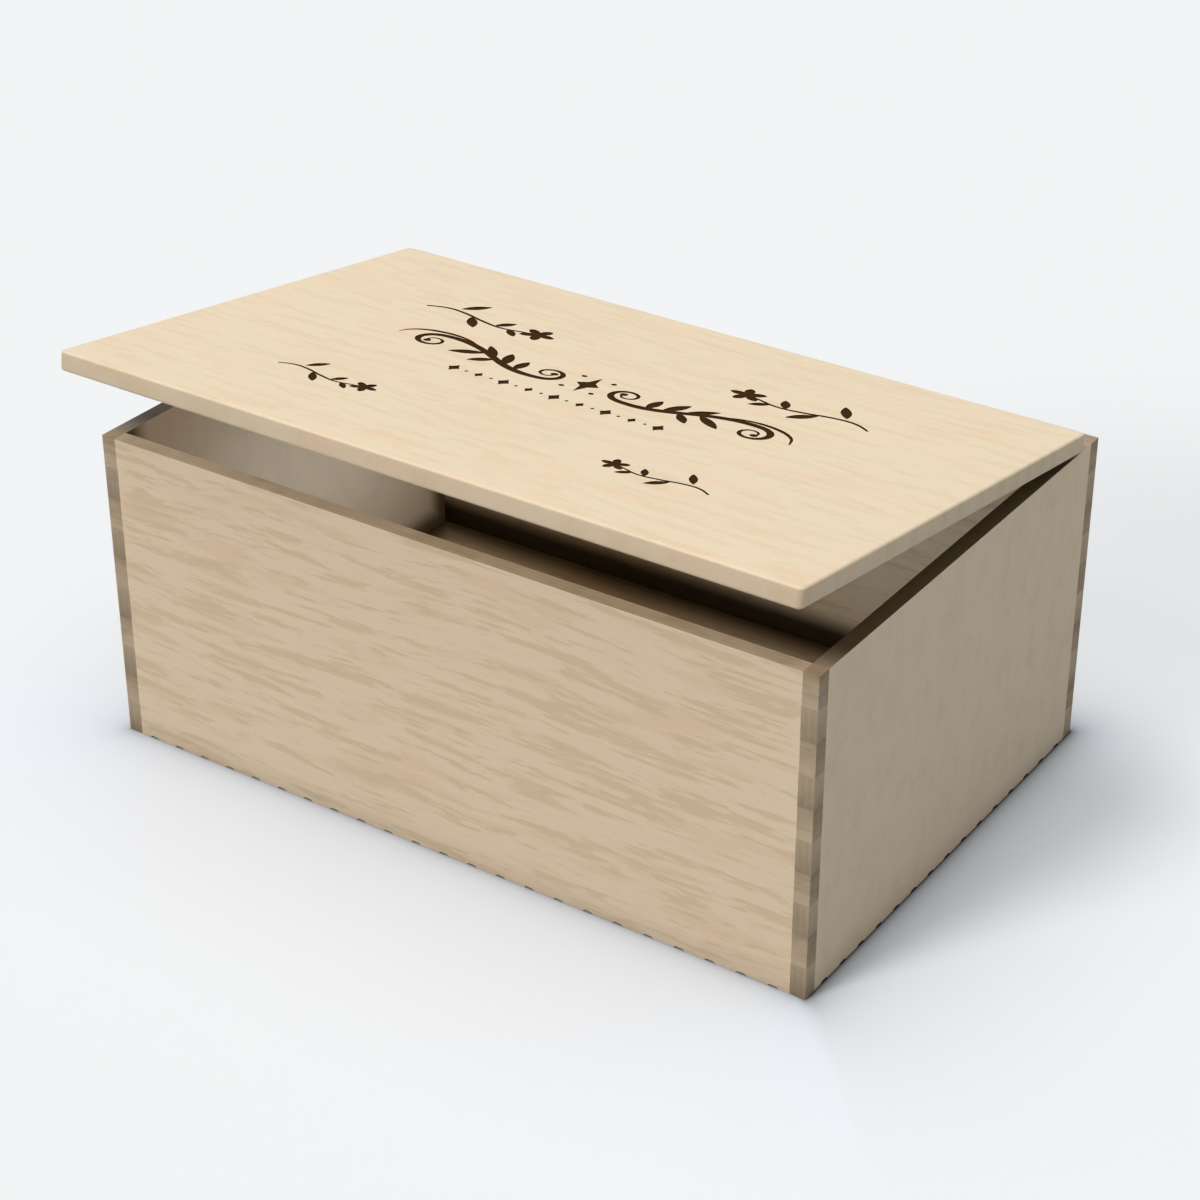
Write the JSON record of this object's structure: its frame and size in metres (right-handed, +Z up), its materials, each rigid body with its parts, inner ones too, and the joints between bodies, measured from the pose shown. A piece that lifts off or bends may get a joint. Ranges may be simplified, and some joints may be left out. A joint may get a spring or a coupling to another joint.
{
  "type": "keepsake box",
  "caption": "Shallow rectangular keepsake box with finger-jointed plywood walls and a flat overhanging lid on inset brass butt hinges.",
  "frame": {"origin": "centre of the case's underside, on the surface that the box stands on", "axes": "+X along the box's long side to the right seen from the front, +Y from the front to the hinged back, +Z up"},
  "size_m": [0.303, 0.2164, 0.1652],
  "materials": {
    "plywood_walls": "sanded, unfinished",
    "plywood_floor": "sanded, unfinished",
    "rail_wood": "planed, unfinished",
    "lid_wood": "sanded, clear matt",
    "hinge_brass": "satin",
    "pin_brass": "polished",
    "screw_brass": "satin"
  },
  "bodies": {
    "case": {"front_panel": "plywood_walls", "back_panel": "plywood_walls", "left_panel": "plywood_walls", "right_panel": "plywood_walls", "floor_panel": "plywood_floor", "hinge_rail": "rail_wood", "left_hinge_case_leaf": "hinge_brass", "right_hinge_case_leaf": "hinge_brass", "left_hinge_pin": "pin_brass", "right_hinge_pin": "pin_brass", "case_hinge_screws": "screw_brass"},
    "lid": {"lid_panel": "lid_wood", "left_hinge_lid_leaf": "hinge_brass", "right_hinge_lid_leaf": "hinge_brass", "lid_hinge_screws": "screw_brass"}
  },
  "joints": [
    {"name": "lid_hinge", "type": "hinge", "parent": "case", "child": "lid", "pos_m": [0, 0.0862, 0.1264], "axis": [-1, 0, 0], "range_deg": [-8.75, 91.25]}
  ]
}
